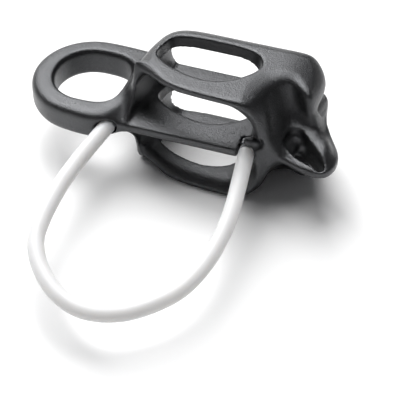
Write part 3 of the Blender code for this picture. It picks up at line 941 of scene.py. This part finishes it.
@dataclass
class Holes:
    """The anchor eye, the window through the three walls and the release hole in the nose.

    The rim and floor steps of the release hole's recess are (height above its rim or floor, share
    of the way from the recess in to the hole) pairs.
    """

    eye_centre: Point2 = (-14.3, 14.85)
    eye_half: Point2 = (9.6, 9.75)
    eye_outer: float = 2.1
    eye_inner: float = 3.3
    eye_rim: float = 1.0
    eye_points: int = 96
    window: tuple[Point2, ...] = (
        (4.4, 15.0), (5.0, 18.9), (6.6, 22.1), (11.0, 23.5), (18.0, 23.8), (24.5, 23.5),
        (29.2, 22.2), (31.2, 18.9), (30.3, 15.6), (27.4, 12.2), (23.3, 9.5), (18.4, 8.6),
        (12.6, 9.7), (7.6, 12.0),
    )
    window_rim: float = 0.5
    window_steps: int = 8
    release: tuple[Point2, ...] = ((44.2, 4.2), (56.9, -1.2), (44.8, 10.7))
    release_radii: tuple[float, ...] = (1.2, 1.1, 1.3)
    recess: tuple[Point2, ...] = ((40.9, 4.9), (57.6, -1.1), (42.2, 13.3))
    recess_radii: tuple[float, ...] = (2.6, 1.5, 2.4)
    recess_rim: float = 3.4
    recess_rim_steps: tuple[Point2, ...] = ((0.0, 0.0), (-0.5, 0.1))
    recess_floor: float = 1.1
    recess_floor_steps: tuple[Point2, ...] = ((0.4, 0.82), (0.0, 0.95), (-0.5, 1.0))
    corner_steps: int = 12
    overshoot: float = 4.0
    rim_start: float = 0.05
    rim_depth: float = 1.2
    rim_power: float = 0.6
    rim_steps: int = 5

    @staticmethod
    def mirrored(steps: list[Point2]) -> list[Point2]:
        """Give (height, share) steps, which run down from the top, to both sides."""
        return [(-z, share) for z, share in steps] + steps[::-1]

    def through(self, name: str, outline: list[Vector], half: float,
                rim: float) -> bpy.types.Object:
        """A cutter along Z that rounds both rims of its hole.

        Args:
            name: the cutter's name.
            outline: the hole in plan.
            half: half the thickness of what it goes through.
            rim: the rims' radius.

        Returns:
            The cutter.
        """
        steps = [(half + self.overshoot, 1.0), (half + self.rim_start, 1.0)]
        for k in range(1, self.rim_steps + 1):
            sine = math.sin(math.pi / 2 * k / self.rim_steps)
            steps.append((half - self.rim_depth * rim * sine, 1 - sine ** self.rim_power))
        return mesh_piece(name, loft([[(p.x, p.y, z) for p in grown(outline, rim * share)]
                                      for z, share in self.mirrored(steps)]))

    def eye_outline(self) -> list[Vector]:
        """The anchor eye: round outside, squarer beside the end wall.

        Returns:
            Its outline.
        """
        centre = self.eye_centre
        made = []
        for i in range(self.eye_points):
            angle = 2 * math.pi * i / self.eye_points
            cos, sin = math.cos(angle), math.sin(angle)
            power = 2 / (self.eye_inner if cos > 0 else self.eye_outer)
            made.append(Vector((
                centre[0] + self.eye_half[0] * math.copysign(abs(cos) ** power, cos),
                centre[1] + self.eye_half[1] * math.copysign(abs(sin) ** power, sin))))
        return made

    def triangle(self, points: tuple[Point2, ...], radii: tuple[float, ...]) -> list[Vector]:
        """A triangle with rounded corners.

        Args:
            points: its corners in plan.
            radii: their radii.

        Returns:
            Its outline.
        """
        made = []
        corners = [Vector(corner) for corner in points]
        for i, (corner, radius) in enumerate(zip(corners, radii)):
            before = (corners[i - 1] - corner).normalized()
            after = (corners[(i + 1) % 3] - corner).normalized()
            half = before.angle(after) / 2
            centre = corner + (before + after).normalized() * radius / math.sin(half)
            start = corner + before * radius / math.tan(half) - centre
            turn = start.angle_signed(corner + after * radius / math.tan(half) - centre)
            for step in range(self.corner_steps + 1):
                made.append(centre + Matrix.Rotation(-turn * step / self.corner_steps, 2) @ start)
        return made

    def release_cutter(self, half: float) -> bpy.types.Object:
        """Cutter of the release hole and of the recessed face round it, above and below.

        Args:
            half: the nose's half-height.

        Returns:
            The cutter.
        """
        hole = self.triangle(self.release, self.release_radii)
        recess = self.triangle(self.recess, self.recess_radii)
        steps = [(half + self.overshoot, 0.0),
                 *((self.recess_rim + up, share) for up, share in self.recess_rim_steps),
                 *((self.recess_floor + up, share) for up, share in self.recess_floor_steps)]
        return mesh_piece("release_cutter", loft([
            [(*outer.lerp(inner, share), z) for outer, inner in zip(recess, hole)]
            for z, share in self.mirrored(steps)]))

    def cutters(self, forging: Forging) -> list[bpy.types.Object]:
        """Cutters of the three holes."""
        window = spline([Vector(p) for p in self.window], self.window_steps, closed=True)
        return [
            self.through("window_cutter", window, forging.half, self.window_rim),
            self.through("eye_cutter", self.eye_outline(), forging.ring_half, self.eye_rim),
            self.release_cutter(forging.nose_half),
        ]


@dataclass
class KeeperLoop:
    """The covered wire loop.

    Its route is its middle line from one socket to the other, and its length is in metres.
    """

    diameter: float = 4.2
    length: float = 0.1407
    steps: int = 6
    bevel_steps: int = 10
    socket_sides: int = 48
    socket_lead: float = 4.0
    route: tuple[Point3, ...] = (
        (-4.6, 1.9, -0.2), (-5.4, -2.6, -0.4), (-6.0, -5.7, -0.6), (-6.9, -10.6, -1.0),
        (-7.6, -15.6, -1.3), (-8.1, -20.8, -1.6), (-8.3, -26.8, -2.1), (-8.1, -33.1, -2.6),
        (-7.4, -38.6, -3.1), (-5.7, -43.0, -3.4), (-2.6, -47.6, -3.9), (2.1, -52.2, -4.3),
        (6.9, -55.0, -4.6), (11.5, -56.2, -4.7), (15.9, -56.0, -4.6), (20.1, -54.6, -4.5),
        (23.9, -52.2, -4.3), (27.4, -49.0, -4.0), (30.6, -45.0, -3.7), (33.0, -40.0, -3.2),
        (34.6, -33.7, -2.6), (35.3, -26.8, -2.1), (35.4, -20.6, -1.6), (35.0, -15.0, -1.2),
        (34.3, -9.4, -0.9), (33.4, -2.9, -0.4), (32.5, 3.1, -0.2),
    )

    def ends(self) -> list[tuple[Vector, Vector]]:
        """Each end of the wire and its direction into the body, in the model's millimetres."""
        made = []
        for end, outside in ((self.route[0], self.route[1]), (self.route[-1], self.route[-2])):
            made.append((Vector(end), (Vector(end) - Vector(outside)).normalized()))
        return made

    def sockets(self, depth: float, clearance: float) -> list[bpy.types.Object]:
        """Cutters of the two drilled sockets.

        Args:
            depth: how deep they go beyond the wire's ends.
            clearance: the room round the cover.

        Returns:
            The cutters.
        """
        radius = self.diameter / 2 + clearance
        angles = [2 * math.pi * i / self.socket_sides for i in range(self.socket_sides)]
        circle = [(radius * math.cos(angle), radius * math.sin(angle)) for angle in angles]
        made = []
        for name, (point, way) in zip(("left", "right"), self.ends()):
            turn = way.to_track_quat("Z", "Y").to_matrix()
            rings = [[point + turn @ Vector((x, y, height)) for x, y in circle]
                     for height in (-self.socket_lead, depth)]
            made.append(mesh_piece(f"socket_cutter_{name}", loft(rings)))
        return made

    def build(self, finish: CoverFinish) -> bpy.types.Object:
        """Args:
            finish: the cover's finish.

        Returns:
            The loop.
        """
        route = spline([Vector(point) for point in self.route], self.steps, closed=False)
        path = [(point + PLACE) * MM for point in route]
        curve = bpy.data.curves.new("keeper_loop", "CURVE")
        curve.dimensions = "3D"
        curve.bevel_depth = self.diameter / 2 * MM
        curve.bevel_resolution = self.bevel_steps
        curve.use_fill_caps = True
        line = curve.splines.new("POLY")
        line.points.add(len(path) - 1)
        for place, point in zip(line.points, path):
            place.co = (*point, 1.0)
        line.use_smooth = True
        loop = bpy.data.objects.new("keeper_loop", curve)
        bpy.context.collection.objects.link(loop)
        curve.materials.append(finish.material())
        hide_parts("keeper_cable")
        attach(loop, Body.KEEPER.value)
        log.info("keeper_loop: %d points", len(path))
        return loop


@dataclass
class ForgedBody:
    """The whole forged body, cut, remeshed with soft edges and anodised.

    The voxel is in metres. The plug is what the stake pushed up in its pocket.
    """

    forging: Forging
    slots: RopeSlots
    grooves: BrakeGrooves
    holes: Holes
    loop: KeeperLoop
    socket_depth: float = 4.0
    socket_clearance: float = 0.45
    stake_at: Point3 = (34.2, 2.3, 4.4)
    stake_radii: Point3 = (3.0, 2.0, 2.1)
    plug_at: Point3 = (33.5, 3.5, 3.5)
    plug_radii: Point3 = (2.1, 1.2, 1.4)
    voxel: float = 0.00037
    softening: int = 4
    softening_share: float = 0.5

    @staticmethod
    def pebble(name: str, centre: Point3, radii: Point3) -> bpy.types.Object:
        """An ellipsoid.

        Args:
            name: its name.
            centre: its centre.
            radii: its half-sizes.

        Returns:
            The ellipsoid.
        """
        made = bmesh.new()
        bmesh.ops.create_uvsphere(made, u_segments=48, v_segments=24, radius=1.0)
        bmesh.ops.scale(made, vec=radii, verts=made.verts)
        bmesh.ops.translate(made, vec=centre, verts=made.verts)
        return mesh_piece(name, made)

    def build(self, finish: AnodisedFinish) -> bpy.types.Object:
        """Make the body and set it on the root.

        Args:
            finish: its finish.

        Returns:
            The body.
        """
        body = self.forging.blank()
        body.name = "forged_and_anodised_body"
        cutters = [
            *(self.slots.cutter(self.forging, side) for side in (1, -1)),
            *(self.grooves.cutter(self.forging, side) for side in (1, -1)),
            *self.holes.cutters(self.forging),
            *self.loop.sockets(self.socket_depth, self.socket_clearance),
            self.pebble("stake_cutter", self.stake_at, self.stake_radii),
        ]
        plug = self.pebble("staked_plug", self.plug_at, self.plug_radii)
        for tool in (*cutters, plug):
            step = body.modifiers.new(tool.name, "BOOLEAN")
            step.operation = "UNION" if tool is plug else "DIFFERENCE"
            step.solver = "MANIFOLD"
            step.object = tool
        applied(body)
        for tool in (*cutters, plug):
            bpy.data.objects.remove(tool, do_unlink=True)
        log.info("cut body: %d faces", len(body.data.polygons))
        remesh = body.modifiers.new("skin", "REMESH")
        remesh.mode = "VOXEL"
        remesh.voxel_size = self.voxel
        soften = body.modifiers.new("blast", "SMOOTH")
        soften.factor = self.softening_share
        soften.iterations = self.softening
        applied(body)
        for polygon in body.data.polygons:
            polygon.use_smooth = True
        body.data.materials.clear()
        body.data.materials.append(finish.material())
        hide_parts("forged_body")
        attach(body, Body.ROOT.value)
        log.info("%s: %d faces", body.name, len(body.data.polygons))
        return body


@dataclass
class WireEnds:
    """The two swaged ends of the wire, which are the CAD's own nodes."""

    names: tuple[str, ...] = ("cable_end_left", "cable_end_right")

    def dress(self, finish: SteelFinish) -> None:
        """Give both ends their finish.

        Args:
            finish: the steel's finish.
        """
        steel = finish.material()
        for name in self.names:
            node = frame["nodes"][name]
            node.data.materials.clear()
            node.data.materials.append(steel)
            log.info("%s: dressed", name)


@dataclass
class Studio:
    """Floor, lamp and world in metres, and a camera in the model's millimetres."""

    heading: float = 19.0
    dip: float = 44.0
    distance: float = 390.0
    shift_right: float = 20.0
    shift_up: float = -18.46
    aim_height: float = 1.5
    lens: float = 136.9
    sensor_width: float = 36.0
    floor_half: float = 3.0
    lamp_at: Point3 = (-0.44, 0.5, 1.1)
    lamp_size: Point2 = (1.0, 1.6)
    lamp_watts: float = 33.0
    world_colour: Colour = (0.075, 0.075, 0.078)

    def camera(self) -> None:
        """Place the camera at the photograph's viewing angle."""
        a, e = math.radians(self.heading), math.radians(self.dip)
        right = Vector((math.cos(a), math.sin(a), 0.0))
        ahead = Vector((-math.sin(a) * math.cos(e), math.cos(a) * math.cos(e), -math.sin(e)))
        up = right.cross(ahead)
        aim = PLACE + Vector((0.0, 0.0, self.aim_height))
        place = aim - self.distance * ahead + self.shift_right * right + self.shift_up * up
        data = bpy.data.cameras.new("camera")
        data.lens = self.lens
        data.sensor_width = self.sensor_width
        made = bpy.data.objects.new("camera", data)
        turn = Matrix((right, up, -ahead)).transposed().to_4x4()
        made.matrix_world = Matrix.Translation(place * MM) @ turn
        bpy.context.collection.objects.link(made)
        bpy.context.scene.camera = made

    def lamp(self) -> None:
        """Hang the one softbox, behind the part and looking at it."""
        data = bpy.data.lights.new("back_softbox", "AREA")
        data.shape = "RECTANGLE"
        data.size, data.size_y = self.lamp_size
        data.energy = self.lamp_watts
        made = bpy.data.objects.new("back_softbox", data)
        made.location = self.lamp_at
        made.rotation_euler = (-Vector(self.lamp_at)).to_track_quat("-Z", "Y").to_euler()
        bpy.context.collection.objects.link(made)

    def floor(self, finish: TableFinish) -> None:
        """Lay the floor.

        Args:
            finish: its finish.
        """
        half = self.floor_half
        mesh = bpy.data.meshes.new("floor")
        mesh.from_pydata([(-half, -half, 0), (half, -half, 0), (half, half, 0), (-half, half, 0)],
                         [], [(0, 1, 2, 3)])
        mesh.materials.append(finish.material())
        floor = bpy.data.objects.new("floor", mesh)
        bpy.context.collection.objects.link(floor)

    def build(self, finish: TableFinish) -> None:
        """Set up the floor, the lamp, the world and the camera.

        Args:
            finish: the floor's finish.
        """
        self.floor(finish)
        self.lamp()
        world = bpy.data.worlds.new("studio")
        world.use_nodes = True
        light = world.node_tree.nodes["Background"].inputs["Color"]
        light.default_value = (*self.world_colour, 1.0)
        bpy.context.scene.world = world
        bpy.context.scene.view_settings.view_transform = "Standard"
        self.camera()


def main() -> None:
    """Build the dressed part and its studio, in order."""
    loop = KeeperLoop()
    Studio().build(TableFinish())
    loop.build(CoverFinish())
    body = ForgedBody(Forging(), RopeSlots(), BrakeGrooves(), Holes(), loop)
    body.build(AnodisedFinish())
    WireEnds().dress(SteelFinish())


if __name__ == "__main__":
    logging.basicConfig(level=logging.INFO, format="%(name)s: %(message)s")
    main()
